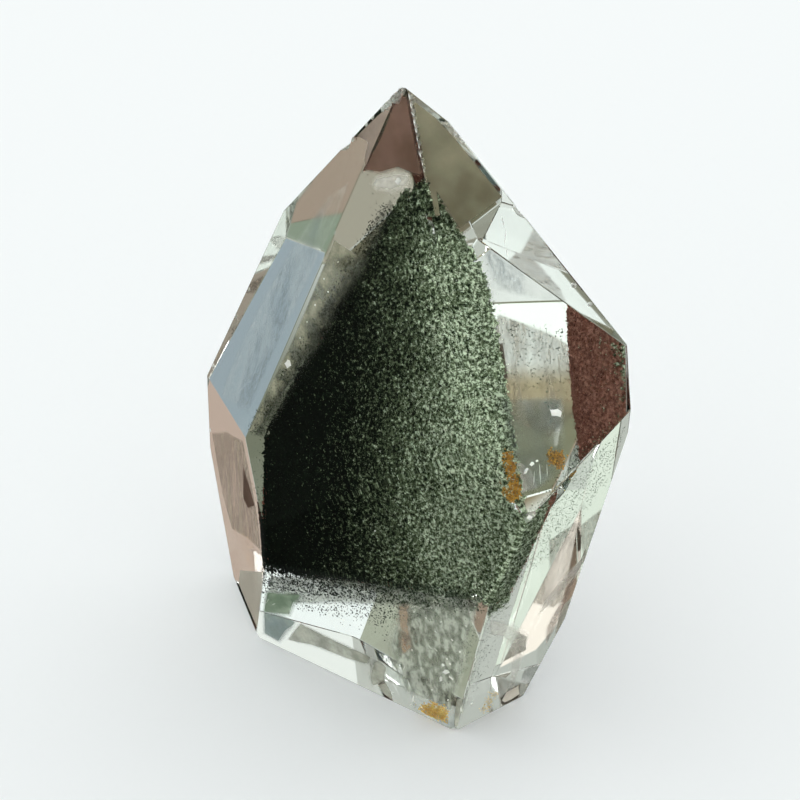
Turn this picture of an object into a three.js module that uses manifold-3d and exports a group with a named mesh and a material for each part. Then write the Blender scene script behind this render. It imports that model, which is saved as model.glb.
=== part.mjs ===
// A clear quartz freeform with a green phantom pyramid sealed inside it.
// Millimetres, +Z up. The stone stands on its flat cut base, with the middle of its box over X = 0, Y = 0.
// The clear stone is parted in two halves, so that the phantom lies in a pocket between them.

import * as THREE from 'three';
import { ConvexGeometry } from 'three/addons/geometries/ConvexGeometry.js';
import { mergeVertices } from 'three/addons/utils/BufferGeometryUtils.js';
import Module from 'manifold-3d';

const wasm = await Module();
wasm.setup();

// Driving dimensions
const STONE_WIDTH = 49.6;
const STONE_DEPTH = 46.3;
const STONE_HEIGHT = 78.2;
const ROUGH_MARGIN = 10;
const TOUCH_GAP = 0.3;
const POCKET_CLEARANCE = 0.04;
const CUTTER_SIZE = 160;
const CHIP_ROUNDNESS = 2;
const WELD = 1e-5;

// Every facet's distance is measured from this point inside the stone.
const CORE = new THREE.Vector3(0, 2, 36);

// The cutting diagram. A facet looks towards its azimuth, in degrees from +X towards +Y, and leans up by
// its lean, in degrees from the vertical. Its distance is how far it lies from the core.
const FRONT_FACETS = {
  upperLeft: { azimuth: -156.5, lean: 18, distance: 13.1 },
  mainLeft: { azimuth: -137, lean: 13, distance: 9.5 },
  mainRight: { azimuth: -103.5, lean: 27.5, distance: 20 },
  waist: { azimuth: -129, lean: 3, distance: 11 },
  foot: { azimuth: -125.5, lean: -8, distance: 14.2 },
  lowerLeft: { azimuth: -157, lean: 1, distance: 15.8 },
  lowerRight: { azimuth: -53, lean: -16.5, distance: 26.5 },
};

const RIGHT_FACETS = {
  shoulderRight: { azimuth: 38, lean: 36, distance: 24.9 },
  slopeRight: { azimuth: 26, lean: 29, distance: 22 },
  cheekRight: { azimuth: 3.5, lean: 2.5, distance: 23.9 },
  wallRight: { azimuth: 21.5, lean: -2.5, distance: 15.3 },
  heelRight: { azimuth: 9, lean: -17, distance: 23.6 },
};

const LEFT_FACETS = {
  shoulderLeft: { azimuth: 128.5, lean: 41, distance: 27.6 },
  slopeLeft: { azimuth: 123.5, lean: 19.5, distance: 24.6 },
  cheekLeft: { azimuth: 160.5, lean: 0.5, distance: 29 },
  wallLeft: { azimuth: 173.5, lean: -13.5, distance: 29.8 },
  heelLeft: { azimuth: -165, lean: -22.5, distance: 29.6 },
};

const REAR_FACETS = {
  rearSlope: { azimuth: 78.5, lean: 28, distance: 22.3 },
  rearWall: { azimuth: 87, lean: -7.5, distance: 19.1 },
  rearCorner: { azimuth: 50, lean: -8.5, distance: 17 },
  rearHeel: { azimuth: 35.5, lean: -12.5, distance: 17.2 },
};

// The plane that parts the clear stone, through the middle of the phantom.
const PARTING = { azimuth: -130, lean: 0, distance: 0.5 };

// Corners of the phantom pyramid, from its tip down.
const PHANTOM_CORNERS = {
  tipLeft: [4, 7.5, 63.5],
  tipRight: [4, 6, 64],
  shoulderUpper: [7.5, 3, 60],
  shoulderLower: [10.5, 0, 56],
  sideUpper: [12, -5.5, 49.5],
  sideMiddle: [13, -10.5, 42],
  sideLower: [14.5, -17.5, 35.5],
  footRight: [11.5, -16.5, 24],
  footMiddle: [1.5, -7.5, 18.5],
  footLeft: [-16, 2.5, 13],
  leftLower: [-16, 3, 22.5],
  leftMiddle: [-15, 8, 29.5],
  leftUpper: [-2.5, 11, 49],
  ridgeUpper: [7, -6.5, 51.5],
  ridgeMiddle: [8, -12, 43],
  ridgeLower: [8.5, -14.5, 33.5],
  rearUpper: [10, 4, 47.5],
  rearMiddle: [12, -3, 37],
  rearLeft: [2, 7, 32],
  rearFoot: [7, -2, 20.5],
  rearFootLeft: [-5, 5, 19.5],
};

// Shell-shaped bites out of the stone's edges: the middle of the bite's ball, and its radius.
const CHIPS = {
  tip: { at: [-0.5, 2.1, 79.4], radius: 1.7 },
  leftShoulder: { at: [-7.6, 8.3, 69.7], radius: 2.5 },
  rightSlope: { at: [13.4, -7.5, 68.8], radius: 1.6 },
  waistCorner: { at: [14.3, -24, 38.8], radius: 1.4 },
  footCorner: { at: [6.7, -14.9, -0.8], radius: 1.5 },
};

const clearQuartz = new THREE.MeshStandardMaterial({
  color: 0xf3f8f4, roughness: 0.04, metalness: 0, transparent: true, opacity: 0.35, flatShading: true,
});
const greenChlorite = new THREE.MeshStandardMaterial({
  color: 0x2c382c, roughness: 0.95, metalness: 0, flatShading: true,
});

// Turns a closed three.js geometry into a solid that can be cut.
function solidOf(geometry) {
  const bare = geometry.clone();
  bare.deleteAttribute('normal');
  bare.deleteAttribute('uv');
  const merged = mergeVertices(bare, WELD);
  return new wasm.Manifold(new wasm.Mesh({
    numProp: 3,
    vertProperties: new Float32Array(merged.attributes.position.array),
    triVerts: new Uint32Array(merged.index.array),
  }));
}

// Turns a cut solid back into a three.js geometry.
function geometryOf(solid) {
  const mesh = solid.getMesh();
  const geometry = new THREE.BufferGeometry();
  geometry.setAttribute('position', new THREE.BufferAttribute(new Float32Array(mesh.vertProperties), 3));
  geometry.setIndex(new THREE.BufferAttribute(new Uint32Array(mesh.triVerts), 1));
  geometry.computeVertexNormals();
  return geometry;
}

// The direction in which a facet looks.
function facetNormal({ azimuth, lean }) {
  const turn = THREE.MathUtils.degToRad(azimuth);
  const rise = THREE.MathUtils.degToRad(lean);
  return new THREE.Vector3(
    Math.cos(rise) * Math.cos(turn),
    Math.cos(rise) * Math.sin(turn),
    Math.sin(rise),
  );
}

// A block with one face in a plane across the given direction, which takes away all that lies beyond it.
function cutterAcross(direction, distance) {
  const block = new THREE.BoxGeometry(CUTTER_SIZE, CUTTER_SIZE, CUTTER_SIZE);
  block.translate(0, 0, CUTTER_SIZE / 2);
  block.applyQuaternion(new THREE.Quaternion().setFromUnitVectors(new THREE.Vector3(0, 0, 1), direction));
  const face = CORE.clone().addScaledVector(direction, distance);
  block.translate(face.x, face.y, face.z);
  return solidOf(block);
}

function cutFacets(solid, facets) {
  return Object.values(facets).reduce(
    (rest, facet) => rest.subtract(cutterAcross(facetNormal(facet), facet.distance)),
    solid,
  );
}

// The rough block stands on the base plane.
function roughBlock() {
  const height = STONE_HEIGHT + ROUGH_MARGIN;
  const block = new THREE.BoxGeometry(STONE_WIDTH + ROUGH_MARGIN, STONE_DEPTH + ROUGH_MARGIN, height);
  block.translate(0, 0, height / 2);
  return solidOf(block);
}

function chipBite({ at, radius }) {
  const ball = new THREE.IcosahedronGeometry(radius, CHIP_ROUNDNESS);
  ball.translate(...at);
  return solidOf(ball);
}

function clearStone() {
  const faceted = [FRONT_FACETS, RIGHT_FACETS, LEFT_FACETS, REAR_FACETS].reduce(cutFacets, roughBlock());
  return Object.values(CHIPS).reduce((rest, chip) => rest.subtract(chipBite(chip)), faceted);
}

function phantomGeometry() {
  return new ConvexGeometry(Object.values(PHANTOM_CORNERS).map((corner) => new THREE.Vector3(...corner)));
}

// The phantom's own form, grown a little about its middle.
function pocketSolid() {
  const pocket = phantomGeometry();
  pocket.computeBoundingBox();
  const middle = pocket.boundingBox.getCenter(new THREE.Vector3());
  pocket.translate(-middle.x, -middle.y, -middle.z);
  pocket.scale(1 + POCKET_CLEARANCE, 1 + POCKET_CLEARANCE, 1 + POCKET_CLEARANCE);
  pocket.translate(middle.x, middle.y, middle.z);
  return solidOf(pocket);
}

function namedMesh(name, geometry, material) {
  const mesh = new THREE.Mesh(geometry, material);
  mesh.name = name;
  return mesh;
}

const hollowStone = clearStone().subtract(pocketSolid());
const frontward = facetNormal(PARTING);
const rearward = frontward.clone().negate();
const frontHalf = hollowStone.subtract(cutterAcross(rearward, -PARTING.distance - TOUCH_GAP / 2));
const backHalf = hollowStone.subtract(cutterAcross(frontward, PARTING.distance - TOUCH_GAP / 2));

const group = new THREE.Group();
group.add(namedMesh('clear_quartz_front', geometryOf(frontHalf), clearQuartz));
group.add(namedMesh('clear_quartz_back', geometryOf(backHalf), clearQuartz));
group.add(namedMesh('green_phantom', phantomGeometry(), greenChlorite));

export default group;
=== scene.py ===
# The looks of a garden phantom quartz freeform: one clear polished stone, the grainy green phantom
# inside it, its loose grains, rusty stains, healed cracks and veils, with painted shade, highlights and
# reflections among them, on a pale floor in soft light.

import math

import bpy
import numpy as np
from mathutils import Matrix, Vector, noise


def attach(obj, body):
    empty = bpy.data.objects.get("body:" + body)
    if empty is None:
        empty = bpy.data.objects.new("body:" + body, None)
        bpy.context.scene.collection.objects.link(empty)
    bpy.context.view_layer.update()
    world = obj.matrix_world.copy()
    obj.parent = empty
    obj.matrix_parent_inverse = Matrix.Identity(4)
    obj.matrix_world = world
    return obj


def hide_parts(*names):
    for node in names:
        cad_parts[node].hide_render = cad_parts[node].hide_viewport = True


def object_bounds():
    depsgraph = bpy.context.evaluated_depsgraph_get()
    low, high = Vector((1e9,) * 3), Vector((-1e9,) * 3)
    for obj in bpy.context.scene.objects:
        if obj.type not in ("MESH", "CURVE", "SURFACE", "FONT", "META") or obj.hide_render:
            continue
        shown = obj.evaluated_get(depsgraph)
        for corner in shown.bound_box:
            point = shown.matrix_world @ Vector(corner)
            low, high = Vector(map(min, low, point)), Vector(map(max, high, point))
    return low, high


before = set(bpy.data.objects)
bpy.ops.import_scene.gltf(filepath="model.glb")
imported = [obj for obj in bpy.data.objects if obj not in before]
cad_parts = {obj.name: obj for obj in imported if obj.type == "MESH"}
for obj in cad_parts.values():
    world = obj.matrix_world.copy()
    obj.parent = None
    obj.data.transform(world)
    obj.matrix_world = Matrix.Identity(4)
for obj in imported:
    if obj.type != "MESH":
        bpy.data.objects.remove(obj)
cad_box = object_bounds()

MM = 0.001
WELD_REACH = 0.001 * MM
STONE_HALVES = ("clear_quartz_front", "clear_quartz_back")
PHANTOM_NODE = "green_phantom"
QUARTZ_IOR = 1.544

# The camera looks at the middle of the photograph's frame. Pixel places are in its 800 x 800 pixels.
FRAME_PIXELS = 800
FOCAL_PIXELS = 2064
SENSOR_MM = 36
FOCUS = Vector((0, -2.2, 40.45)) * MM
VIEW_DISTANCE = 240 * MM
VIEW_ELEVATION = math.radians(33)


def deselect_all():
    if bpy.context.mode != "OBJECT":
        bpy.ops.object.mode_set(mode="OBJECT")
    bpy.ops.object.select_all(action="DESELECT")


def new_piece(name):
    """Names the object that an operator has just added, and gives its mesh the same name."""
    piece = bpy.context.view_layer.objects.active
    piece.name = name
    piece.data.name = name
    return piece


def select_only(piece):
    deselect_all()
    piece.select_set(True)
    bpy.context.view_layer.objects.active = piece


def settle(piece):
    """Puts the piece's place into its mesh, so that the object sits at the origin."""
    select_only(piece)
    bpy.ops.object.transform_apply(location=True, rotation=True, scale=True)


def apply_modifier(piece, kind, **settings):
    modifier = piece.modifiers.new(kind.lower(), kind)
    for setting, value in settings.items():
        setattr(modifier, setting, value)
    select_only(piece)
    bpy.ops.object.modifier_apply(modifier=modifier.name)


def piece_from(name, corners, faces):
    """A piece made of the given corners and faces."""
    mesh = bpy.data.meshes.new(name)
    mesh.from_pydata(corners, [], faces)
    mesh.update()
    piece = bpy.data.objects.new(name, mesh)
    bpy.context.scene.collection.objects.link(piece)
    return piece


def dress(piece, materials, replaced=()):
    """Gives a finished piece its materials and slot, and says what it rides on and stands for."""
    if not piece.data.materials:
        for material in materials:
            piece.data.materials.append(material)
    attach(piece, "root")
    if replaced:
        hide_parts(*replaced)


# The camera and its sight lines

def make_camera():
    bpy.ops.object.camera_add()
    camera = bpy.context.view_layer.objects.active
    camera.name = "camera"
    back = Vector((0, -math.cos(VIEW_ELEVATION), math.sin(VIEW_ELEVATION)))
    camera.location = FOCUS + VIEW_DISTANCE * back
    camera.rotation_euler = (math.radians(90) - VIEW_ELEVATION, 0, 0)
    camera.data.sensor_width = SENSOR_MM
    camera.data.lens = SENSOR_MM * FOCAL_PIXELS / FRAME_PIXELS
    camera.data.clip_start = 0.01
    bpy.context.scene.camera = camera
    bpy.context.view_layer.update()
    return camera


def sight_line(camera, pixel):
    """Where the line of sight through a pixel starts, and its direction."""
    half = FRAME_PIXELS / 2
    local = Vector(((pixel[0] - half) / FOCAL_PIXELS, (half - pixel[1]) / FOCAL_PIXELS, -1))
    turn = camera.matrix_world.to_3x3()
    return camera.matrix_world.translation.copy(), (turn @ local).normalized()


def line_of_view(camera):
    return camera.matrix_world.to_3x3() @ Vector((0, 0, -1))


# The stone's facets, read from the two halves of the frame

FACET_REACH = 0.01 * MM
FACET_LIKENESS = math.cos(math.radians(0.4))


def stone_facets():
    """The planes that no corner of either half lies beyond, as (normal, distance), largest first."""
    corners, faces = [], []
    for half in STONE_HALVES:
        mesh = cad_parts[half].data
        corners += [vertex.co[:] for vertex in mesh.vertices]
        faces += [(face.area, face.normal.copy(), face.center.copy()) for face in mesh.polygons]
    corners = np.array(corners)
    facets = []
    for _, normal, middle in sorted(faces, key=lambda face: -face[0]):
        distance = normal.dot(middle)
        if (corners @ np.array(normal)).max() > distance + FACET_REACH:
            continue
        if all(normal.dot(other) < FACET_LIKENESS for other, _ in facets):
            facets.append((normal, distance))
    return facets


def entry_point(facets, start, direction):
    """Where a line of sight meets the stone, and the facet that it meets, or None."""
    near, far, met = -math.inf, math.inf, None
    for normal, distance in facets:
        slope = normal.dot(direction)
        reach = (distance - normal.dot(start)) / slope
        if slope < 0 and reach > near:
            near, met = reach, normal
        elif slope > 0:
            far = min(far, reach)
    return (start + near * direction, met) if near < far else None


def inside_point(camera, facets, pixel, depth):
    """The point that shows at a pixel, depth millimetres along the bent line of sight in the stone."""
    start, direction = sight_line(camera, pixel)
    entry = entry_point(facets, start, direction)
    if entry is None:
        return None
    point, normal = entry
    cosine = -normal.dot(direction)
    bend = 1 / QUARTZ_IOR
    inner = bend * direction + (bend * cosine - math.sqrt(1 - bend ** 2 * (1 - cosine ** 2))) * normal
    return point + depth * MM * inner.normalized()


def depth_inside(facets, points):
    """How deep each point lies under the nearest facet, below 0 where it is outside."""
    normals = np.array([normal for normal, _ in facets])
    distances = np.array([distance for _, distance in facets])
    return (distances[None] - points @ normals.T).min(axis=1)


# The clear stone

BLOCK_MARGIN = 1.2
EDGE_WIDTH = 0.13 * MM
EDGE_ANGLE = math.radians(4)
CHIP_CUTS = {
    "tip": ((-0.5, 2.1, 79.4), 1.7),
    "left_shoulder": ((-7.6, 8.3, 69.7), 2.5),
    "right_slope": ((13.4, -7.5, 68.8), 1.6),
    "waist_corner": ((14.3, -24, 38.8), 1.4),
    "foot_corner": ((6.7, -14.9, -0.8), 1.5),
}
CHIP_ROUGHNESS = 0.09 * MM
# Small nicks: pixel x and y on the surface, how far the ball's middle stands off it, and its radius, in mm
NICKS = [
    (395, 95, 0.75, 1.25), (388, 103, 0.5, 0.95), (401, 90.5, 0.35, 0.7), (383, 108, 0.3, 0.55),
    (348, 145, 0.25, 0.5), (353, 139, 0.2, 0.4), (366.5, 123.5, 0.25, 0.45), (372.5, 117, 0.15, 0.35),
    (411.5, 97, 0.12, 0.3), (412.5, 103, 0.08, 0.24), (414, 111, 0.1, 0.26), (415.2, 118, 0.08, 0.22),
    (416.5, 126, 0.1, 0.26), (418, 135, 0.06, 0.2), (419.3, 143, 0.1, 0.25), (421, 152, 0.06, 0.2),
    (422.3, 160, 0.09, 0.24), (423.8, 168, 0.06, 0.2),
    (249, 289, 0.3, 0.5), (236, 317, 0.3, 0.45), (213.5, 366.5, 0.2, 0.4), (210.5, 430, 0.2, 0.35),
    (457, 134, 0.3, 0.5), (463, 141, 0.2, 0.35), (574, 285, 0.25, 0.4), (590, 304, 0.15, 0.3),
]
NICK_ROUGHNESS = 0.12
CHIP_GRAIN = 0.5 * MM


def cut_stone(facets, material):
    """A block cut plane by plane, as on a lap, then with its edges eased."""
    low, high = (Vector(corner) for corner in cad_box)
    deselect_all()
    bpy.ops.mesh.primitive_cube_add(size=1, location=(low + high) / 2, scale=(high - low) * BLOCK_MARGIN)
    stone = new_piece("clear_stone")
    settle(stone)
    bpy.ops.object.mode_set(mode="EDIT")
    for normal, distance in facets:
        bpy.ops.mesh.select_all(action="SELECT")
        bpy.ops.mesh.bisect(plane_co=normal * distance, plane_no=normal, use_fill=True, clear_outer=True)
    bpy.ops.mesh.select_all(action="SELECT")
    bpy.ops.mesh.remove_doubles(threshold=WELD_REACH)
    bpy.ops.mesh.normals_make_consistent(inside=False)
    bpy.ops.object.mode_set(mode="OBJECT")
    stone.data.materials.append(material)
    apply_modifier(stone, "BEVEL", width=EDGE_WIDTH, segments=2, limit_method="ANGLE",
                   angle_limit=EDGE_ANGLE)
    return stone


def bite(stone, middle, radius, roughness, seed, material):
    """Bites a shell-shaped chip out of the stone with a rough ball, and leaves the ball's material in it."""
    deselect_all()
    bpy.ops.mesh.primitive_ico_sphere_add(subdivisions=4, radius=radius, location=middle)
    tool = new_piece("chip_tool")
    settle(tool)
    for vertex in tool.data.vertices:
        outward = (vertex.co - middle).normalized()
        ripple = noise.fractal(vertex.co / CHIP_GRAIN + Vector((seed, 0, 0)), 1.0, 2.0, 3)
        vertex.co += outward * roughness * ripple
    tool.data.materials.append(material)
    apply_modifier(stone, "BOOLEAN", operation="DIFFERENCE", object=tool, solver="EXACT",
                   material_mode="TRANSFER")
    bpy.data.objects.remove(tool)


def make_stone(camera, facets, clear, broken):
    stone = cut_stone(facets, clear)
    for number, (middle, radius) in enumerate(CHIP_CUTS.values()):
        bite(stone, Vector(middle) * MM, radius * MM, CHIP_ROUGHNESS, 10 * number, broken)
    for number, (x, y, height, radius) in enumerate(NICKS):
        start, direction = sight_line(camera, (x, y))
        point, normal = entry_point(facets, start, direction)
        middle = point + normal * height * MM
        bite(stone, middle, radius * MM, NICK_ROUGHNESS * radius * MM, 100 + number, broken)
    dress(stone, (), STONE_HALVES)
    return stone


# Small grains, stamped many times into one mesh

def grain_shape():
    """A small eight-sided grain, as its corners and its faces."""
    deselect_all()
    bpy.ops.mesh.primitive_cone_add(vertices=4, radius1=1, depth=1, location=(0, 0, 0.5),
                                    end_fill_type="TRIFAN")
    grain = bpy.context.view_layer.objects.active
    settle(grain)
    for corner in grain.data.vertices:
        if corner.co.length < 0.01:
            corner.co.z = -1
    corners = np.array([vertex.co[:] for vertex in grain.data.vertices])
    faces = np.array([face.vertices[:] for face in grain.data.polygons])
    bpy.data.objects.remove(grain)
    return corners, faces


def random_turns(count, rng):
    """Random turns, one matrix for each grain."""
    first = rng.normal(size=(count, 3))
    second = rng.normal(size=(count, 3))
    first /= np.linalg.norm(first, axis=1)[:, None]
    second -= (second * first).sum(axis=1)[:, None] * first
    second /= np.linalg.norm(second, axis=1)[:, None]
    return np.stack([first, second, np.cross(first, second)], axis=1)


def stamp_grains(name, shape, places, sizes, stretch, rng):
    """One joined mesh of small grains at the given places, each turned and stretched at random."""
    corners, faces = shape
    count = len(places)
    squeeze = 1 + stretch * (rng.random((count, 1, 3)) - 0.5)
    local = corners[None] * squeeze * sizes[:, None, None]
    spread = np.einsum("nij,njk->nik", local, random_turns(count, rng)) + places[:, None]
    indices = faces[None] + (len(corners) * np.arange(count))[:, None, None]
    return piece_from(name, spread.reshape(-1, 3).tolist(), indices.reshape(-1, faces.shape[1]).tolist())


# The phantom

# Painted shade and light: the phantom grows paler along this axis, from dark where shade falls at one
# distance along it to pale where light falls at another, in mm, and the edge between them wavers over the
# last distance.
PAINTED_LIGHT_AXIS = Vector((1, -0.1, -0.06)).normalized()
PAINTED_SHADE_END = -13.4
PAINTED_LIGHT_END = 5.1
PAINTED_LIGHT_WAVER = 10
GRAIN_STRETCH = 0.9
LEAST_GRAIN = 0.45
GRAIN_RANGE = 1.1
SMALL_GRAIN_BIAS = 1.5
SKIN_DEPTH = 0.35 * MM
# The phantom's foot faces down at least this steeply. On its far side the share of the grains is kept that is
# given here, they drift out less, and they sink in by some mm. Where the phantom hides them they are
# rust-coloured,
# which is also a painted reflection: the maroon that the facets mirror from the phantom's far side.
FOOT_FACING = -0.4
REAR_SHARE = 0.6
REAR_SINK = 0.25
REAR_DRIFT = 0.3
HIDING_DEPTH = 0.45 * MM
# Grains spread over the phantom's faces: their number, how far they drift out and sink in, how far they fall
# under its foot, and their size, in mm. The share says how many are kept on the side painted dark as shade
# and on the side painted pale as light.
GRAIN_LAYERS = {
    "phantom_grains_fine": {"count": 26000, "share": (1.0, 0.8), "drift": 0.16, "sunk": 0.22, "fall": 0.3,
                            "size": 0.15},
    "phantom_grains_coarse": {"count": 22000, "share": (0.9, 0.9), "drift": 0.12, "sunk": 0.16, "fall": 0.2,
                              "size": 0.24},
    "phantom_dust": {"count": 26000, "share": (1.0, 0.35), "drift": 0.8, "sunk": 0.1, "fall": 0.8,
                     "size": 0.06},
}


def phantom_faces():
    """The phantom's triangles, their normals and their areas."""
    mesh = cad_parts[PHANTOM_NODE].data
    mesh.calc_loop_triangles()
    corners = np.array([vertex.co[:] for vertex in mesh.vertices])
    triangles = corners[np.array([triangle.vertices[:] for triangle in mesh.loop_triangles])]
    normals = np.cross(triangles[:, 1] - triangles[:, 0], triangles[:, 2] - triangles[:, 0])
    areas = np.linalg.norm(normals, axis=1)
    return triangles, normals / areas[:, None], areas


def hidden_behind_phantom(points, view):
    """Whether the phantom, drawn in by the hiding depth, stands between each point and the viewer."""
    triangles, normals, _ = phantom_faces()
    room = (triangles[:, 0] * normals).sum(axis=1) - HIDING_DEPTH - points @ normals.T
    speed = normals @ -np.array(view)
    entered = (room[:, speed < 0] / speed[speed < 0]).max(axis=1)
    left = (room[:, speed > 0] / speed[speed > 0]).min(axis=1)
    return left > np.maximum(entered, 0)


def phantom_samples(count, rng):
    """Random points on the phantom's faces, and the faces' normals there."""
    triangles, normals, areas = phantom_faces()
    chosen = rng.choice(len(triangles), size=count, p=areas / areas.sum())
    a, b = rng.random((2, count))
    turned = a + b > 1
    a[turned], b[turned] = 1 - a[turned], 1 - b[turned]
    picked = triangles[chosen]
    start, first, second = picked[:, 0], picked[:, 1], picked[:, 2]
    return start + a[:, None] * (first - start) + b[:, None] * (second - start), normals[chosen]


BODY_VOXEL = 0.45 * MM
BODY_INSET = 0.2 * MM
BODY_LUMPS = 0.3 * MM
LUMP_SIZE = 1.6 * MM


def make_phantom_body(front, rear, view):
    """The phantom's solid heart: the frame's form, made lumpy and drawn in a little under its grains."""
    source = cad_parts[PHANTOM_NODE]
    body = source.copy()
    body.data = source.data.copy()
    body.parent = None
    for key in list(body.keys()):
        del body[key]
    body.name = "phantom_body"
    bpy.context.scene.collection.objects.link(body)
    select_only(body)
    bpy.ops.object.mode_set(mode="EDIT")
    bpy.ops.mesh.select_all(action="SELECT")
    bpy.ops.mesh.remove_doubles(threshold=WELD_REACH)
    bpy.ops.object.mode_set(mode="OBJECT")
    apply_modifier(body, "REMESH", mode="VOXEL", voxel_size=BODY_VOXEL)
    moves = []
    for vertex in body.data.vertices:
        lump = noise.fractal(vertex.co / LUMP_SIZE, 1.0, 2.0, 4)
        moves.append(vertex.co - vertex.normal * (BODY_INSET + BODY_LUMPS * 0.5 * (1 + lump)))
    for vertex, place in zip(body.data.vertices, moves):
        vertex.co = place
    select_only(body)
    bpy.ops.object.shade_smooth()
    body.data.materials.clear()
    dress(body, (front, rear), (PHANTOM_NODE,))
    # Faces turned away from the camera take the rear colour, rust that is also a painted reflection.
    for face in body.data.polygons:
        face.material_index = int(face.normal.dot(view) > 0)
    return body


def painted_light_side(points):
    """How far a point lies towards the phantom's right side, painted pale in place of light, from 0 to 1."""
    along = points @ np.array(PAINTED_LIGHT_AXIS)
    return np.clip((along / MM - PAINTED_SHADE_END) / (PAINTED_LIGHT_END - PAINTED_SHADE_END), 0, 1)


def make_phantom_grains(facets, shape, front, rear, view):
    """The grainy skin of the phantom, and the grains that stray from it. Its far side is rust-coloured, which
    is also a painted reflection.
    """
    rng = np.random.default_rng(7)
    for name, layer in GRAIN_LAYERS.items():
        points, normals = phantom_samples(layer["count"] * 2, rng)
        dark_share, pale_share = layer["share"]
        kept = rng.random(len(points)) < dark_share + (pale_share - dark_share) * painted_light_side(points)
        points, normals = points[kept][:layer["count"]], normals[kept][:layer["count"]]
        away = rng.exponential(layer["drift"], len(points)) - layer["sunk"]
        foot = normals[:, 2] < FOOT_FACING
        far = (normals @ np.array(view) > 0) & ~foot
        away += np.where(foot, rng.exponential(layer["fall"], len(points)), 0)
        away = np.where(far, REAR_DRIFT * away - REAR_SINK, away)
        places = points + normals * away[:, None] * MM
        inside = depth_inside(facets, places) > SKIN_DEPTH
        chance = rng.random(len(places)) ** SMALL_GRAIN_BIAS
        sizes = layer["size"] * (LEAST_GRAIN + GRAIN_RANGE * chance) * MM
        sparse = rng.random(len(places)) < REAR_SHARE
        hidden = hidden_behind_phantom(places, view)
        for side, chosen, material in (
            ("", inside & ~far, front),
            ("_rear", inside & far & sparse & hidden, rear),
            ("_edge", inside & far & ~hidden, front),
        ):
            piece = stamp_grains(name + side, shape, places[chosen], sizes[chosen], GRAIN_STRETCH, rng)
            dress(piece, (material,))


# Grains, stains, flakes and cracks that the clear stone holds, placed by the pixel that they show at

def in_outline(outline, x, y):
    inside = False
    for (x0, y0), (x1, y1) in zip(outline, outline[1:] + outline[:1]):
        if (y0 > y) != (y1 > y) and x < (x1 - x0) * (y - y0) / (y1 - y0) + x0:
            inside = not inside
    return inside


def scattered_points(camera, facets, outline, depths, count, rng):
    """Random points in the stone that show inside an outline of pixels, between two depths."""
    xs, ys = zip(*outline)
    points = []
    while len(points) < count:
        x, y = rng.uniform(min(xs), max(xs)), rng.uniform(min(ys), max(ys))
        if in_outline(outline, x, y):
            strayed = (x + rng.normal(0, STRAY_PIXELS), y + rng.normal(0, STRAY_PIXELS))
            point = inside_point(camera, facets, strayed, rng.uniform(*depths))
            if point is not None:
                points.append(point)
    points = np.array(points)
    return points[depth_inside(facets, points) > SKIN_DEPTH]


def make_inclusions(camera, facets, shape, patches, materials, seed):
    rng = np.random.default_rng(seed)
    for name, (kind, outline, depths, count, size) in patches.items():
        places = scattered_points(camera, facets, outline, depths, count, rng)
        sizes = size * (0.5 + rng.random(len(places))) * MM
        piece = stamp_grains(name, shape, places, sizes, GRAIN_STRETCH, rng)
        dress(piece, (materials[kind],))


def flake_shape():
    """A thin jagged flake of unit size, flat across Z."""
    deselect_all()
    bpy.ops.mesh.primitive_circle_add(vertices=9, radius=1, fill_type="NGON")
    flake = bpy.context.view_layer.objects.active
    for number, corner in enumerate(flake.data.vertices):
        corner.co *= FLAKE_RADII[number]
    bpy.ops.object.mode_set(mode="EDIT")
    bpy.ops.mesh.select_all(action="SELECT")
    bpy.ops.mesh.extrude_region_move(TRANSFORM_OT_translate={"value": (0, 0, FLAKE_THICKNESS)})
    bpy.ops.mesh.select_all(action="SELECT")
    bpy.ops.mesh.normals_make_consistent(inside=False)
    bpy.ops.object.mode_set(mode="OBJECT")
    return flake


def make_flakes(camera, facets, flakes, material):
    """Bright flakes, partly real cleavage flakes and partly painted glints: each jagged plate leans a little
    away from facing the viewer.
    """
    rng = np.random.default_rng(23)
    template = flake_shape()
    back = camera.matrix_world.to_3x3() @ Vector((0, 0, 1))
    for name, plates in flakes.items():
        verts, faces = [], []
        for x, y, depth, length, width, slant in plates:
            place = inside_point(camera, facets, (x, y), depth)
            first, second = rng.normal(0, FLAKE_LEAN), rng.normal(0, FLAKE_LEAN)
            lean = Matrix.Rotation(first, 3, "X") @ Matrix.Rotation(second, 3, "Y")
            facing = back.to_track_quat("Z", "Y").to_matrix()
            turn = facing @ lean @ Matrix.Rotation(math.radians(slant), 3, "Z")
            size = Vector((length / 2, width / 2, 1)) * MM
            offset = len(verts)
            verts += [place + turn @ (vertex.co * size) for vertex in template.data.vertices]
            faces += [[offset + index for index in face.vertices] for face in template.data.polygons]
        dress(piece_from(name, verts, faces), (material,))
    bpy.data.objects.remove(template)


def make_veil(camera, facets, name, outline, depth, rim, material):
    """A thin misty sheet in the stone that shows inside an outline of pixels and fades at its rim."""
    corners = [inside_point(camera, facets, pixel, depth) for pixel in outline]
    veil = piece_from(name, corners, [list(range(len(corners)))])
    select_only(veil)
    bpy.ops.object.mode_set(mode="EDIT")
    bpy.ops.mesh.select_all(action="SELECT")
    bpy.ops.mesh.inset(thickness=rim * MM, use_even_offset=False)
    bpy.ops.object.mode_set(mode="OBJECT")
    fade = veil.data.attributes.new("fade", "FLOAT", "POINT")
    inner = {index for face in veil.data.polygons if face.select for index in face.vertices}
    for index in inner:
        fade.data[index].value = 1
    apply_modifier(veil, "TRIANGULATE")
    apply_modifier(veil, "SOLIDIFY", thickness=VEIL_THICKNESS, offset=0)
    dress(veil, (material,))


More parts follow.
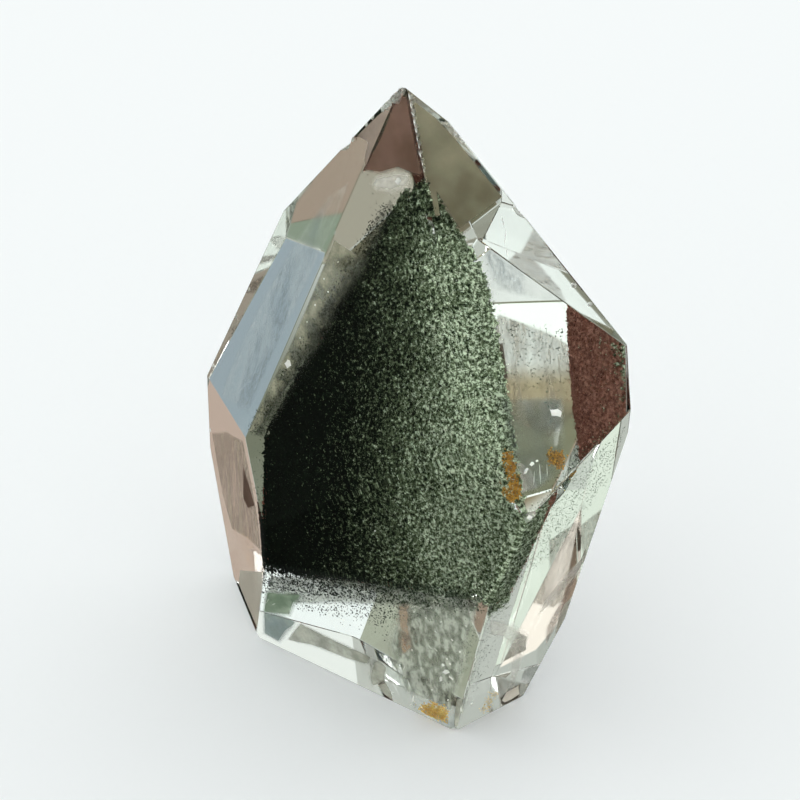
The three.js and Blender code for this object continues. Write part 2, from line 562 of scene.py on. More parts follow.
# What lies in the clear stone: kind, outline in pixels, depths in mm, count, size in mm
STRAY_PIXELS = 1.6
LOOSE_GRAINS = {
    "grains_right_field": ("loose", [
        (508, 322), (566, 326), (564, 398), (514, 388),
    ], (0.5, 1.9), 300, 0.07),
    "grains_spray_near": ("spray", [
        (263, 566), (330, 572), (420, 584), (486, 597), (484, 612), (424, 606), (300, 594), (263, 590),
    ], (0.8, 2.2), 2500, 0.11),
    "grains_spray_far": ("spray", [
        (263, 574), (330, 580), (425, 596), (440, 618), (380, 622), (316, 612), (263, 606),
    ], (0.8, 2.5), 1700, 0.085),
    "grains_right_join": ("skin", [
        (508, 503), (527, 521), (529, 541), (504, 578), (490, 604), (482, 602), (498, 560),
    ], (0.5, 1.8), 5200, 0.13),
    "grains_tip": ("skin", [
        (417, 184), (425, 182), (427, 188), (430, 200), (433, 216), (420, 214), (410, 196),
    ], (0.3, 0.9), 1500, 0.12),
    "grains_white_zone": ("loose", [(300, 604), (400, 598), (392, 640), (326, 622)], (1, 3), 120, 0.08),
    "grains_lower_right": ("spray", [
        (536, 520), (566, 482), (628, 424), (606, 482), (556, 552), (500, 598),
    ], (0.6, 3), 2800, 0.055),
    "grains_foot": ("loose", [
        (400, 606), (480, 606), (474, 660), (440, 700), (408, 690),
    ], (1, 6), 1500, 0.06),
    "grains_left_edge": ("loose", [
        (384, 204), (392, 200), (300, 372), (262, 432), (250, 432), (300, 340), (346, 262),
    ], (0.8, 3), 2600, 0.075),
    "grains_left_low": ("spray", [
        (212, 436), (244, 440), (260, 500), (261, 580), (250, 560), (240, 500), (222, 480),
    ], (0.4, 1.2), 1300, 0.05),
}
IRON_STAINS = {
    "stain_right_streak": ("orange", [(504, 452), (512, 452), (521, 498), (511, 500)], (2, 4), 520, 0.1),
    "stain_right_spot": ("orange", [(548, 450), (564, 452), (562, 468), (550, 464)], (2, 4), 260, 0.1),
    "stain_foot_spot": ("yellow", [
        (418, 707), (436, 703), (446, 710), (446, 722), (430, 722),
    ], (0.5, 1.4), 1100, 0.1),
    "stain_foot_streak": ("yellow", [
        (492, 692), (497, 694), (485, 713), (481, 711),
    ], (0.5, 1.2), 200, 0.07),
    "stain_low_veil": ("rust", [(398, 606), (410, 604), (409, 648), (398, 646)], (2, 5), 330, 0.07),
    "stain_red_specks": ("rust", [(396, 636), (418, 632), (421, 645), (398, 649)], (2, 5), 90, 0.12),
}

FLAKE_RADII = (1.0, 0.62, 0.9, 0.7, 1.05, 0.6, 0.85, 0.72, 0.95)
FLAKE_LEAN = 0.25
FLAKE_THICKNESS = 0.04
# Partly real cleavage flakes and cracks, partly painted glints: white plates where the stone sparkles.
# Each plate: pixel x and y, depth, length and width in mm, slant in degrees
FLAKES_AND_PAINTED_GLINTS = {
    "flake_star": [
        (446, 672, 1.4, 1.5, 0.7, 20), (441, 679, 1.4, 1.2, 0.5, 60), (451, 678, 1.4, 0.9, 0.4, -50),
        (443, 665, 1.4, 0.6, 0.5, 10), (450, 664, 1.4, 0.5, 0.3, 80), (447, 659, 1.4, 0.3, 0.3, 0),
    ],
    "flake_right": [
        (526, 471, 2.2, 1.1, 0.4, 50), (532, 464, 2.2, 0.7, 0.5, 20), (537, 461, 2.2, 0.4, 0.3, 0),
    ],
    "flake_waist": [(529, 517, 0.8, 0.9, 0.7, 20), (533, 513, 0.8, 0.4, 0.3, 0)],
    "flake_foot": [
        (471.5, 704, 0.8, 0.7, 0.5, 60), (412, 705, 0.6, 0.5, 0.4, 0), (415, 702, 0.6, 0.3, 0.2, 30),
    ],
    "flake_specks": [
        (398, 628, 2.5, 0.4, 0.3, 0), (418, 630, 2.5, 0.4, 0.3, 40), (430, 647, 2, 0.8, 0.3, -50),
        (400, 654, 2.5, 0.5, 0.3, 20), (401, 637, 2.5, 0.3, 0.3, 0), (375, 531, 2, 0.3, 0.25, 0),
        (422, 625, 2.5, 0.3, 0.2, 0), (436, 632, 2, 0.6, 0.2, -35), (396, 661, 2.5, 0.4, 0.2, 30),
    ],
    "flake_chip": [(556, 413, 0.5, 1.7, 1.0, -25)],
    # Two plates here are painted highlights, round white spots on the left facet and under the apex.
    "flake_left": [
        (288, 364, 0.6, 1.25, 1.1, 10), (398, 181, 0.6, 1.2, 0.8, 20), (324, 279, 1.0, 0.3, 0.2, 50),
        (328, 292, 1.0, 0.3, 0.2, -20), (315, 305, 1.0, 0.35, 0.25, 30), (307, 322, 1.0, 0.25, 0.2, 0),
        (243, 496, 0.5, 0.6, 0.25, 80), (300, 338, 1.0, 0.2, 0.2, 0), (338, 262, 1.0, 0.25, 0.15, 30),
    ],
    # A painted highlight: thin white plates under the ridge, for the bright line along it.
    "flake_ridge_painted_highlight": [
        (409.3, 97, 0.05, 0.16, 0.9, 11), (411, 106, 0.05, 0.13, 0.8, 9),
        (412.6, 114, 0.05, 0.17, 0.9, 12), (414.2, 123, 0.05, 0.12, 0.8, 10),
        (415.8, 131, 0.05, 0.15, 0.7, 13), (417.2, 139, 0.05, 0.1, 0.8, 9),
        (419, 147, 0.05, 0.13, 0.6, 12), (420.6, 155, 0.05, 0.09, 0.7, 11),
        (422.4, 164, 0.05, 0.1, 0.5, 10), (424, 171, 0.05, 0.08, 0.4, 12),
    ],
    "flake_mottle": [
        (414, 612, 1.6, 0.4, 0.15, 30), (426, 618, 1.6, 0.35, 0.2, -40), (441, 622, 1.6, 0.5, 0.15, 20),
        (452, 640, 1.6, 0.5, 0.2, -60), (436, 650, 1.6, 0.7, 0.15, -45), (460, 652, 1.6, 0.4, 0.2, 10),
        (421, 668, 1.6, 0.45, 0.15, 60), (432, 690, 1.6, 0.4, 0.2, 0), (448, 700, 1.2, 0.5, 0.2, 40),
        (466, 626, 1.6, 0.4, 0.15, -20), (470, 612, 1.6, 0.5, 0.12, 35), (412, 650, 1.6, 0.4, 0.2, 80),
    ],
    "flake_lines": [
        (503, 222, 1.5, 0.1, 1.6, 10), (505, 238, 1.5, 0.08, 1.6, -8), (507, 253, 1.5, 0.1, 1.2, 12),
        (540, 474, 1.5, 0.08, 2.2, 4), (534, 478, 1.5, 0.07, 1.6, -3), (547, 470, 1.5, 0.06, 1.5, 6),
        (404, 668, 1.0, 0.12, 1.2, -30), (409, 684, 1.0, 0.14, 1.6, 14), (413, 699, 1.0, 0.14, 1.3, -12),
        (268, 600, 0.6, 0.07, 1.6, -40), (274, 604, 0.6, 0.06, 1.3, -55),
    ],
}
VEIL_THICKNESS = 0.02 * MM
# Each veil: kind, depth and width of its faded rim in mm, outline in pixels
VEILS = {
    # The three apex veils are painted reflections: brown and olive sheets for the dark surroundings that the
    # apex mirrors.
    "veil_apex_left_reflection": ("umber", 0.7, 0.45, [
        (391, 106), (400, 93), (408, 96), (414, 128), (421, 162), (423, 177), (412, 176), (398, 170),
        (380, 175), (363, 170), (379, 136),
    ]),
    "veil_apex_edge_reflection": ("tawny", 0.25, 0.08, [
        (357, 136), (366, 126.5), (378, 115), (390, 105), (391, 108), (380, 133), (372, 151), (366, 166),
        (364, 160), (368, 142),
    ]),
    "veil_apex_right_reflection": ("olive", 0.7, 0.15, [
        (411.6, 99), (436, 117), (455, 137), (480, 168), (503, 197), (482, 213), (459, 229), (446, 208),
        (437, 192), (441, 216), (435, 217), (430.6, 200), (421, 153), (416, 128),
    ]),
    # A painted highlight: a white sheet that glows softly at the apex.
    "veil_apex_painted_glow": ("glow", 1.0, 1.35, [
        (368, 184), (376, 172), (392, 167), (408, 169), (414, 179), (408, 192), (392, 197), (376, 194),
    ]),
    # A painted reflection: bluish-white streaks on the left facet.
    "veil_left_reflection_streaks": ("reflection_streaks", 1.0, 1.0, [
        (220, 396), (236, 352), (262, 296), (296, 236), (326, 196), (350, 180), (336, 226), (302, 298),
        (270, 366), (248, 416),
    ]),
    "veil_left_smoke": ("smoke", 1.6, 0.25, [
        (334, 239), (360, 256), (352, 284), (318, 338), (284, 392), (262, 426), (249, 432), (266, 392),
        (292, 340), (314, 288),
    ]),
    # A painted shadow: a dark sheet along the phantom's left edge, where its shade fades out.
    "veil_left_painted_shadow": ("shade", 1.2, 1.05, [
        (392, 196), (398, 214), (372, 264), (334, 328), (290, 402), (266, 440), (252, 436), (276, 388),
        (316, 318), (352, 256), (376, 210),
    ]),
    "veil_left_bran": ("bran", 0.6, 0.45, [
        (211.5, 432), (226, 430), (243, 440), (252, 484), (259, 524), (261, 552), (248, 540), (232, 530),
        (222, 494),
    ]),
    "veil_left_wedge": ("umber", 0.5, 0.2, [(243, 466), (249, 484), (255, 506), (248, 509), (243, 498)]),
    "veil_left_corner": ("pale", 0.2, 0.1, [
        (238.5, 583), (240, 570), (262, 572), (262, 588), (257.5, 628), (254.5, 622), (249, 609),
        (244, 597),
    ]),
    "veil_tip_right": ("smoke", 0.9, 0.12, [
        (419, 182), (425, 181), (427, 187), (430, 200), (433.3, 216), (424, 212), (416, 196),
    ]),
    "veil_spray": ("haze", 2.4, 0.8, [
        (264, 570), (330, 575), (410, 586), (480, 600), (476, 613), (420, 610), (340, 606), (264, 604),
    ]),
    "veil_foot_green": ("green", 0.8, 0.9, [
        (264, 589), (284, 590), (303, 594), (297, 606), (292, 618), (262, 613),
    ]),
    "veil_foot_blue": ("blue", 0.8, 0.9, [
        (261, 609), (280, 613), (298, 622), (290, 634), (281, 645), (262, 634),
    ]),
    "veil_foot_band": ("grey", 0.8, 0.65, [
        (299, 621), (336, 639), (373, 657), (369, 667), (346, 660), (312, 647), (286, 640),
    ]),
    "veil_foot_round": ("grey", 0.8, 1.0, [
        (370, 657), (380, 658), (390, 668), (388, 684), (372, 688), (366, 674),
    ]),
    "veil_foot": ("mottle", 2.0, 1.5, [
        (396, 602), (480, 603), (474, 640), (470, 662), (455, 716), (404, 694), (388, 664), (384, 640),
    ]),
    "veil_foot_edge": ("grey", 0.25, 0.08, [
        (378, 685), (386, 683), (391, 692), (393, 699.5), (390, 699), (383, 693),
    ]),
    "veil_foot_corner": ("grey", 0.25, 0.08, [
        (457, 698), (463, 699), (460, 713), (457.5, 727), (454, 724), (455, 709),
    ]),
    "veil_foot_rust": ("rust_and_painted_reflection", 1.4, 0.6, [
        (396, 604), (409, 602), (411, 628), (414, 650), (402, 656), (398, 634),
    ]),
    "veil_right_teal": ("teal", 3, 1.1, [(498, 396), (566, 394), (566, 470), (528, 500), (510, 460)]),
    "veil_heel_band": ("cloudy", 0.6, 0.9, [
        (490, 619), (512, 620), (532, 632), (524, 660), (512, 694), (505, 690), (510, 654), (500, 640),
        (486, 638),
    ]),
    "veil_heel_mauve": ("mauve", 0.6, 0.5, [
        (582, 560), (587, 545), (574, 586), (558, 624), (546, 645), (545, 628), (562, 596),
    ]),
    "veil_heel_foot": ("pale", 0.4, 0.2, [
        (501, 701), (506, 692), (519, 685), (520, 694), (511, 700), (504, 703),
    ]),
    "veil_heel_wedge": ("cloudy", 0.5, 0.5, [
        (586, 553), (580, 572), (560, 596), (537, 617), (545, 598), (566, 574),
    ]),
}


# Materials

def new_material(name):
    material = bpy.data.materials.new(name)
    material.use_nodes = True
    nodes = material.node_tree.nodes
    nodes.clear()
    output = nodes.new("ShaderNodeOutputMaterial")
    shader = nodes.new("ShaderNodeBsdfPrincipled")
    material.node_tree.links.new(shader.outputs["BSDF"], output.inputs["Surface"])
    return material, nodes, material.node_tree.links, shader, output


def add_noise(nodes, links, coordinates, scale, detail=2, roughness=0.5):
    texture = nodes.new("ShaderNodeTexNoise")
    texture.inputs["Scale"].default_value = scale
    texture.inputs["Detail"].default_value = detail
    texture.inputs["Roughness"].default_value = roughness
    links.new(coordinates, texture.inputs["Vector"])
    return texture.outputs["Fac"]


def add_math(nodes, links, operation, *values):
    """A sum on numbers, each a plain number or the output of another node."""
    step = nodes.new("ShaderNodeMath")
    step.operation = operation
    for socket, value in zip(step.inputs, values):
        if isinstance(value, (int, float)):
            socket.default_value = value
        else:
            links.new(value, socket)
    return step.outputs[0]


def add_dot(nodes, links, vector, axis):
    """How far a vector reaches along an axis."""
    dot = nodes.new("ShaderNodeVectorMath")
    dot.operation = "DOT_PRODUCT"
    dot.inputs[1].default_value = axis
    links.new(vector, dot.inputs[0])
    return dot.outputs["Value"]


def add_bump(nodes, links, shader, height, strength, distance):
    bump = nodes.new("ShaderNodeBump")
    bump.inputs["Strength"].default_value = strength
    bump.inputs["Distance"].default_value = distance
    links.new(height, bump.inputs["Height"])
    links.new(bump.outputs["Normal"], shader.inputs["Normal"])


def add_range(nodes, links, value, low, high, to_low=0, to_high=1):
    mapped = nodes.new("ShaderNodeMapRange")
    mapped.inputs["From Min"].default_value = low
    mapped.inputs["From Max"].default_value = high
    mapped.inputs["To Min"].default_value = to_low
    mapped.inputs["To Max"].default_value = to_high
    links.new(value, mapped.inputs["Value"])
    return mapped.outputs["Result"]


def add_mix(nodes, links, share, first, second):
    """A mix of two colours. Each is a colour or the output of another node."""
    mix = nodes.new("ShaderNodeMix")
    mix.data_type = "RGBA"
    links.new(share, mix.inputs["Factor"])
    for socket, colour in (("A", first), ("B", second)):
        target = [s for s in mix.inputs if s.name == socket and s.type == "RGBA"][0]
        if isinstance(colour, tuple):
            target.default_value = (*colour, 1)
        else:
            links.new(colour, target)
    return [s for s in mix.outputs if s.type == "RGBA"][0]


def polish_group():
    """Polish wear: fine scratches and hazy smears, as a roughness and a height."""
    group = bpy.data.node_groups.new("polish_wear", "ShaderNodeTree")
    interface = group.interface
    interface.new_socket("Vector", in_out="INPUT", socket_type="NodeSocketVector")
    interface.new_socket("Smear", in_out="INPUT", socket_type="NodeSocketFloat")
    interface.new_socket("Roughness", in_out="OUTPUT", socket_type="NodeSocketFloat")
    interface.new_socket("Height", in_out="OUTPUT", socket_type="NodeSocketFloat")
    nodes, links = group.nodes, group.links
    start = nodes.new("NodeGroupInput")
    end = nodes.new("NodeGroupOutput")
    smear = add_noise(nodes, links, start.outputs["Vector"], 90, 5, 0.6)
    smear = add_range(nodes, links, smear, 0.5, 0.75)
    worn = add_math(nodes, links, "MULTIPLY", smear, start.outputs["Smear"])
    links.new(worn, end.inputs["Roughness"])
    links.new(add_noise(nodes, links, start.outputs["Vector"], 45, 1, 0.4), end.inputs["Height"])
    return group


def quartz_material(name, polish, smear, ripple):
    """Clear quartz with polish wear: how rough its smears are, and how high its surface ripples, in mm."""
    material, nodes, links, shader, output = new_material(name)
    shader.inputs["Base Color"].default_value = (0.985, 0.99, 0.985, 1)
    shader.inputs["Transmission Weight"].default_value = 1
    shader.inputs["IOR"].default_value = QUARTZ_IOR
    place = nodes.new("ShaderNodeTexCoord")
    wear = nodes.new("ShaderNodeGroup")
    wear.node_tree = polish
    wear.inputs["Smear"].default_value = smear
    links.new(place.outputs["Object"], wear.inputs["Vector"])
    links.new(wear.outputs["Roughness"], shader.inputs["Roughness"])
    add_bump(nodes, links, shader, wear.outputs["Height"], 0.6, ripple * MM)
    tint = nodes.new("ShaderNodeVolumeAbsorption")
    tint.inputs["Color"].default_value = (0.88, 0.93, 0.90, 1)
    tint.inputs["Density"].default_value = 6
    links.new(tint.outputs["Volume"], output.inputs["Volume"])
    return material


def broken_material():
    """Freshly broken quartz, frosted white."""
    material, nodes, links, shader, _ = new_material("broken_quartz")
    place = nodes.new("ShaderNodeTexCoord").outputs["Object"]
    shell = add_noise(nodes, links, place, 2600, 4, 0.7)
    shader.inputs["Base Color"].default_value = (0.97, 0.98, 0.97, 1)
    shader.inputs["Transmission Weight"].default_value = 1
    shader.inputs["IOR"].default_value = QUARTZ_IOR
    links.new(add_range(nodes, links, shell, 0.35, 0.65, 0.15, 0.5), shader.inputs["Roughness"])
    add_bump(nodes, links, shader, shell, 0.8, 0.12 * MM)
    return material


BLOTCH_SCALE = 2100
DRIFT_SCALE = 220
# How dark a blotch has to be to stay dark, at the side painted in shade and at the side painted in light
SHADED_SIDE_REACH = 0.76
LIT_SIDE_REACH = 0.47
GREEN_RISE = (-0.12, 0.04)
PALE_RISE = (0.02, 0.13)


# The dark, middle and pale shade of each kind of grain
CHLORITE_SHADES = {
    "skin": ((0.004, 0.008, 0.004), (0.18, 0.24, 0.135), (0.71, 0.82, 0.64)),
    # The far side's maroon is rust and also a painted reflection, of the dark that the facets mirror from it.
    "rust_and_painted_reflection": ((0.15, 0.06, 0.042), (0.26, 0.11, 0.078), (0.42, 0.22, 0.17)),
    "spray": ((0.010, 0.016, 0.010), (0.05, 0.07, 0.045), (0.20, 0.25, 0.18)),
    "loose": ((0.006, 0.010, 0.006), (0.02, 0.03, 0.02), (0.10, 0.13, 0.10)),
}


def chlorite_material(name, shades):
    """Blotchy grains in three shades, with painted shade and light: mostly dark on the shaded left, and paler
    and paler towards the lit right.
    """
    material, nodes, links, shader, _ = new_material(name)
    dark, middle, pale = shades
    place = nodes.new("ShaderNodeTexCoord").outputs["Object"]
    along = add_dot(nodes, links, place, PAINTED_LIGHT_AXIS)
    drift = add_noise(nodes, links, place, DRIFT_SCALE, 3)
    wavering = add_math(nodes, links, "MULTIPLY_ADD", drift, PAINTED_LIGHT_WAVER * MM, along)
    shaded_end, lit_end = ((end + PAINTED_LIGHT_WAVER / 2) * MM for end in (PAINTED_SHADE_END, PAINTED_LIGHT_END))
    # Painted shade and light: side runs from 0 on the shaded left to 1 on the lit right.
    side = add_range(nodes, links, wavering, shaded_end, lit_end)
    blotch = add_noise(nodes, links, place, BLOTCH_SCALE, 3, 0.65)
    reach = add_range(nodes, links, side, 0, 1, SHADED_SIDE_REACH, LIT_SIDE_REACH)
    edge = add_math(nodes, links, "SUBTRACT", blotch, reach)
    green = add_mix(nodes, links, add_range(nodes, links, edge, *GREEN_RISE), dark, middle)
    colour = add_mix(nodes, links, add_range(nodes, links, edge, *PALE_RISE), green, pale)
    links.new(colour, shader.inputs["Base Color"])
    shader.inputs["Roughness"].default_value = 0.9
    shader.inputs["Specular IOR Level"].default_value = 0
    return material


# The deep and the bright shade of each kind of stain
IRON_SHADES = {
    "orange": ((0.25, 0.10, 0.01), (0.62, 0.33, 0.04)),
    "yellow": ((0.80, 0.40, 0.04), (0.98, 0.72, 0.18)),
    "rust": ((0.16, 0.05, 0.03), (0.50, 0.26, 0.14)),
}


def stain_material(name, deep, bright):
    """Earthy iron stain, with deeper and brighter spots."""
    material, nodes, links, shader, _ = new_material(name)
    place = nodes.new("ShaderNodeTexCoord").outputs["Object"]
    patch = add_range(nodes, links, add_noise(nodes, links, place, 1500, 2), 0.35, 0.62)
    links.new(add_mix(nodes, links, patch, deep, bright), shader.inputs["Base Color"])
    shader.inputs["Roughness"].default_value = 0.7
    return material


def glint_flake_material():
    """Silvery broken quartz: bright white, with small soft ripples. The white is partly a painted glint."""
    material, nodes, links, shader, _ = new_material("flake_painted_glint")
    place = nodes.new("ShaderNodeTexCoord").outputs["Object"]
    ripple = add_noise(nodes, links, place, 1800, 2)
    silver = add_mix(nodes, links, ripple, (0.86, 0.87, 0.84), (1.0, 1.0, 0.98))
    links.new(silver, shader.inputs["Base Color"])
    shader.inputs["Roughness"].default_value = 0.35
    add_bump(nodes, links, shader, ripple, 0.5, 0.1 * MM)
    return material


# How the streaks of a veil are turned, and how fast a veil fades at its rim
VEIL_TURN = (0, math.radians(28), math.radians(50))
RIM_FADE = 1.8
# Each kind of veil: its two colours, its most cover, the scale of its grain, the stretch of its streaks, and
# the least share of that cover between its spots
VEIL_LOOKS = {
    # Umber, olive and tawny colour the painted reflections at the apex.
    "umber": ((0.17, 0.10, 0.072), (0.27, 0.165, 0.125), 0.95, 110, 1, 0.9),
    "olive": ((0.15, 0.135, 0.085), (0.27, 0.25, 0.17), 0.96, 110, 1, 0.9),
    "tawny": ((0.36, 0.29, 0.24), (0.50, 0.41, 0.35), 0.96, 200, 1, 0.9),
    # The glow kind is a painted highlight.
    "glow": ((0.95, 0.92, 0.86), (0.90, 0.88, 0.82), 0.9, 150, 1, 0.7),
    "pale": ((0.88, 0.81, 0.72), (0.96, 0.91, 0.83), 1, 200, 1, 0.9),
    # The reflection streaks are a painted reflection on the left facet.
    "reflection_streaks": ((0.94, 0.97, 0.92), (0.34, 0.42, 0.48), 0.42, 330, 0.12, 0.1),
    "smoke": ((0.18, 0.185, 0.125), (0.46, 0.45, 0.34), 0.93, 420, 1, 0.6),
    # The shade kind is a painted shadow, a dark sheet where there is only shade.
    "shade": ((0.030, 0.036, 0.024), (0.10, 0.11, 0.08), 0.85, 300),
    "bran": ((0.28, 0.20, 0.14), (0.70, 0.60, 0.48), 0.7, 420, 0.16),
    "green": ((0.26, 0.36, 0.25), (0.44, 0.54, 0.41), 0.95, 300, 1, 0.85),
    "blue": ((0.25, 0.33, 0.33), (0.40, 0.49, 0.48), 0.9, 260, 1, 0.8),
    "grey": ((0.40, 0.41, 0.34), (0.62, 0.63, 0.55), 0.9, 260, 1, 0.7),
    "mauve": ((0.42, 0.33, 0.27), (0.58, 0.48, 0.42), 0.6, 200, 1, 0.6),
    "cloudy": ((0.80, 0.77, 0.71), (0.94, 0.92, 0.86), 0.55, 260, 1, 0.5),
    "rust_and_painted_reflection": ((0.55, 0.31, 0.19), (0.78, 0.60, 0.45), 0.7, 400),
    "haze": ((0.60, 0.66, 0.55), (0.84, 0.90, 0.80), 0.8, 420, 1, 0.5),
    "teal": ((0.13, 0.16, 0.13), (0.22, 0.26, 0.25), 0.7, 300),
    "mottle": ((0.29, 0.32, 0.26), (0.80, 0.84, 0.75), 0.8, 1200, 0.5, 0.6),
}


def veil_material(name, first, second, most, grain, stretch=1, least=0.35):
    """A mist of two colours, with finer spots in broad patches."""
    material, nodes, links, shader, _ = new_material(name)
    place = nodes.new("ShaderNodeTexCoord").outputs["Object"]
    turned = nodes.new("ShaderNodeMapping")
    turned.inputs["Rotation"].default_value = VEIL_TURN
    turned.inputs["Scale"].default_value = (1, 1, stretch)
    links.new(place, turned.inputs["Vector"])
    broad = add_noise(nodes, links, turned.outputs["Vector"], grain, 3)
    fine = add_noise(nodes, links, turned.outputs["Vector"], grain * 9, 3, 0.7)
    links.new(add_mix(nodes, links, add_range(nodes, links, broad, 0.4, 0.6), first, second),
              shader.inputs["Base Color"])
    broad_cover = add_range(nodes, links, broad, 0.3, 0.65, least, 1)
    fine_cover = add_range(nodes, links, fine, 0.3, 0.7, least, 1)
    spotted = add_math(nodes, links, "MULTIPLY", broad_cover, fine_cover)
    fade = nodes.new("ShaderNodeAttribute")
    fade.attribute_name = "fade"
    softened = add_math(nodes, links, "POWER", fade.outputs["Fac"], RIM_FADE)
    rim_cover = add_range(nodes, links, softened, 0, 1, 0, most)
    links.new(add_math(nodes, links, "MULTIPLY", spotted, rim_cover), shader.inputs["Alpha"])
    shader.inputs["Roughness"].default_value = 0.6
    shader.inputs["Specular IOR Level"].default_value = 0.1
    return material


# Floor and light

FLOOR_SIZE = 6
FLOOR_DROP = 0.02 * MM


def make_floor():
    """A plain pale floor. The stone sees the light cards through it, as it would on a glass table."""
    deselect_all()
    bpy.ops.mesh.primitive_plane_add(size=FLOOR_SIZE, location=(0, 0, -FLOOR_DROP))
    floor = new_piece("floor")
    settle(floor)
    material, nodes, links, shader, output = new_material("pale_floor")
    shader.inputs["Base Color"].default_value = (0.87, 0.89, 0.89, 1)
    shader.inputs["Roughness"].default_value = 0.8
    shader.inputs["Specular IOR Level"].default_value = 0
    path = nodes.new("ShaderNodeLightPath")
    clear = nodes.new("ShaderNodeBsdfTransparent")
    mix = nodes.new("ShaderNodeMixShader")
    links.new(path.outputs["Is Camera Ray"], mix.inputs[0])
    links.new(clear.outputs[0], mix.inputs[1])
    links.new(shader.outputs[0], mix.inputs[2])
    links.new(mix.outputs[0], output.inputs["Surface"])
    floor.data.materials.append(material)


# Soft cards round the stone, each laid over the ones before it. Azimuth and height say where the middle of
# the card stands, half is its half width and rim its soft rim, all in degrees.
CARD_BASE = (0.62, 0.66, 0.60)
LIGHT_CARDS = {
    "olive_front": {"azimuth": -121, "height": -25, "half": 22, "rim": 20, "colour": (0.17, 0.16, 0.10)},
    "olive_below": {"azimuth": -140, "height": -77, "half": 8, "rim": 8, "colour": (0.20, 0.18, 0.12)},
    "grey_below": {"azimuth": -66, "height": -70, "half": 9, "rim": 9, "colour": (0.42, 0.40, 0.32)},
    "white_low_front": {"azimuth": -136, "height": -49, "half": 6, "rim": 5, "colour": (0.96, 1.02, 0.97)},
    "white_low_left": {"azimuth": 170, "height": -52, "half": 17, "rim": 6, "colour": (0.98, 1.05, 1.0)},
    "white_front_left": {"azimuth": -147, "height": -24, "half": 7, "rim": 7, "colour": (1.10, 1.20, 1.12)},
    "umber_front": {"azimuth": -123, "height": -20, "half": 9, "rim": 6, "colour": (0.30, 0.24, 0.14)},
    "sand_front_left": {"azimuth": -134, "height": -31, "half": 3, "rim": 2, "colour": (0.62, 0.55, 0.34)},
    "white_band": {"azimuth": -134.5, "height": -25, "half": 5.7, "rim": 0.8, "colour": (1.15, 1.25, 1.15)},
    "teal_band": {"azimuth": -133.5, "height": -36.5, "half": 4.1, "rim": 0.7, "colour": (0.23, 0.24, 0.155)},
    "beige_front": {"azimuth": -116, "height": -28, "half": 3, "rim": 4, "colour": (0.46, 0.37, 0.29)},
    "sage_front": {"azimuth": -90, "height": -48, "half": 8, "rim": 8, "colour": (0.30, 0.37, 0.28)},
    "beige_front_right": {"azimuth": -43, "height": -37, "half": 7, "rim": 7, "colour": (0.36, 0.31, 0.25)},
    "blue_grey_right": {"azimuth": 34, "height": -42, "half": 6, "rim": 5, "colour": (0.38, 0.47, 0.51)},
    "rose_right": {"azimuth": 30, "height": -29, "half": 5, "rim": 4, "colour": (0.72, 0.57, 0.47)},
    "smoke_rear": {"azimuth": 58, "height": -37, "half": 6, "rim": 4, "colour": (0.19, 0.21, 0.15)},
    "white_rear": {"azimuth": 76, "height": -25, "half": 14, "rim": 6, "colour": (1.0, 1.08, 1.05)},
    "sage_rear": {"azimuth": 105, "height": -20, "half": 7, "rim": 6, "colour": (0.37, 0.40, 0.30)},
    "cream_rear": {"azimuth": 62, "height": 39, "half": 10, "rim": 8, "colour": (0.98, 1.04, 0.98)},
    "pale_left": {"azimuth": 175, "height": -8, "half": 16, "rim": 8, "colour": (0.92, 1.02, 0.88)},
    "rose_left": {"azimuth": -153, "height": 4, "half": 7, "rim": 6, "colour": (1.25, 1.16, 1.02)},
    "brown_left": {"azimuth": -137, "height": 0, "half": 5, "rim": 5, "colour": (0.36, 0.26, 0.19)},
    "window": {"azimuth": -82, "height": 42, "half": 15, "rim": 12, "colour": (15.0, 15.2, 14.8)},
}
SOFT_WHITE = (1.06, 1.08, 1.08)
PALE_BACKDROP = (0.88, 0.90, 0.90)
# How much of the cards is mirrored by the outside of the stone, as through a polarising filter
MIRRORED_SHARE = 0.05


def card_mask(nodes, links, direction, card):
    turn, rise = math.radians(card["azimuth"]), math.radians(card["height"])
    middle = (math.cos(rise) * math.cos(turn), math.cos(rise) * math.sin(turn), math.sin(rise))
    angle = add_math(nodes, links, "ARCCOSINE", add_dot(nodes, links, direction, middle))
    edge = nodes.new("ShaderNodeMapRange")
    edge.interpolation_type = "SMOOTHSTEP"
    edge.inputs["From Min"].default_value = math.radians(card["half"])
    edge.inputs["From Max"].default_value = math.radians(card["half"] + card["rim"])
    edge.inputs["To Min"].default_value = 1
    edge.inputs["To Max"].default_value = 0
    links.new(angle, edge.inputs["Value"])
    return edge.outputs["Result"]


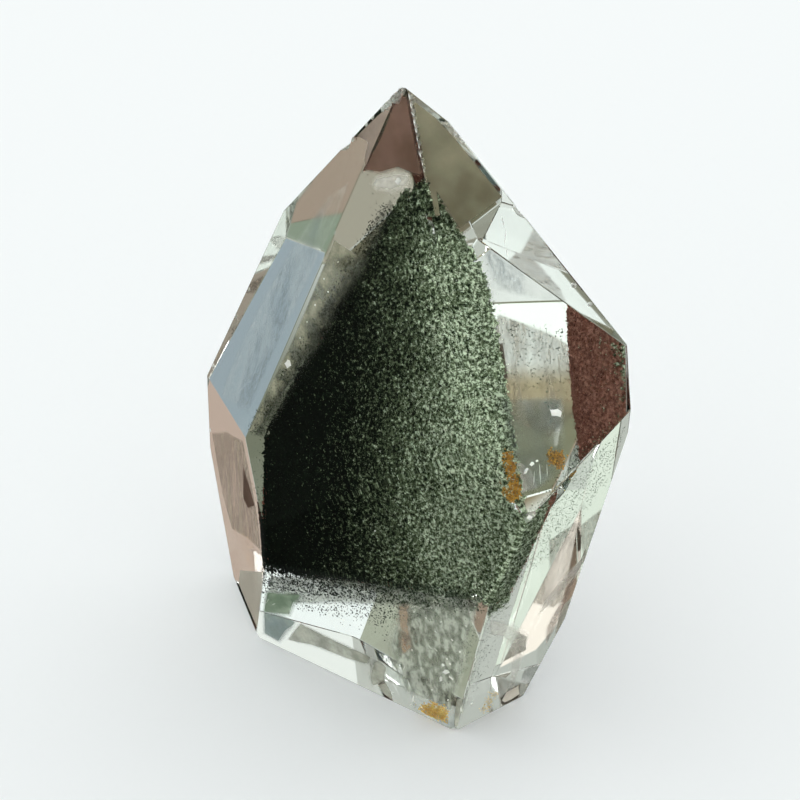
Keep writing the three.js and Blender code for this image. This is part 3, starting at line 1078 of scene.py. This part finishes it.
def make_surroundings():
    """Plain soft white light for the floor, and soft cards that the polished stone gathers in its facets."""
    world = bpy.data.worlds.new("soft_studio")
    bpy.context.scene.world = world
    world.use_nodes = True
    nodes, links = world.node_tree.nodes, world.node_tree.links
    nodes.clear()
    output = nodes.new("ShaderNodeOutputWorld")
    background = nodes.new("ShaderNodeBackground")
    direction = nodes.new("ShaderNodeTexCoord").outputs["Generated"]
    cards = CARD_BASE
    for card in LIGHT_CARDS.values():
        cards = add_mix(nodes, links, card_mask(nodes, links, direction, card), cards, card["colour"])
    path = nodes.new("ShaderNodeLightPath")
    bounced = path.outputs["Is Reflection Ray"]
    mirrored = add_math(nodes, links, "MULTIPLY_ADD", bounced, MIRRORED_SHARE - 1, 1)
    dimmed = nodes.new("ShaderNodeVectorMath")
    dimmed.operation = "SCALE"
    links.new(cards, dimmed.inputs[0])
    links.new(mirrored, dimmed.inputs["Scale"])
    lit = add_mix(nodes, links, path.outputs["Is Glossy Ray"], SOFT_WHITE, dimmed.outputs["Vector"])
    seen = add_mix(nodes, links, path.outputs["Is Camera Ray"], lit, PALE_BACKDROP)
    links.new(seen, background.inputs["Color"])
    links.new(background.outputs["Background"], output.inputs["Surface"])


def set_light_paths():
    scene = bpy.context.scene
    scene.view_settings.view_transform = "Standard"
    scene.cycles.max_bounces = 12
    scene.cycles.transmission_bounces = 12
    scene.cycles.glossy_bounces = 12
    scene.cycles.diffuse_bounces = 2
    scene.cycles.transparent_max_bounces = 12
    scene.cycles.caustics_reflective = True
    scene.cycles.caustics_refractive = True
    scene.cycles.sample_clamp_indirect = 10


camera = make_camera()
facets = stone_facets()
polish = polish_group()
quartz = quartz_material("clear_quartz", polish, 0.05, 0.04)
chlorite = {name: chlorite_material(f"chlorite_{name}", shades) for name, shades in CHLORITE_SHADES.items()}
iron = {name: stain_material(f"iron_{name}", *shades) for name, shades in IRON_SHADES.items()}
veils = {name: veil_material(f"veil_{name}", *looks) for name, looks in VEIL_LOOKS.items()}
grain = grain_shape()
make_stone(camera, facets, quartz, broken_material())
make_phantom_body(chlorite["skin"], chlorite["rust_and_painted_reflection"], line_of_view(camera))
make_phantom_grains(facets, grain, chlorite["skin"], chlorite["rust_and_painted_reflection"], line_of_view(camera))
make_inclusions(camera, facets, grain, LOOSE_GRAINS, chlorite, 11)
make_inclusions(camera, facets, grain, IRON_STAINS, iron, 12)
make_flakes(camera, facets, FLAKES_AND_PAINTED_GLINTS, glint_flake_material())
for name, (kind, depth, rim, outline) in VEILS.items():
    make_veil(camera, facets, name, outline, depth, rim, veils[kind])
make_floor()
make_surroundings()
set_light_paths()
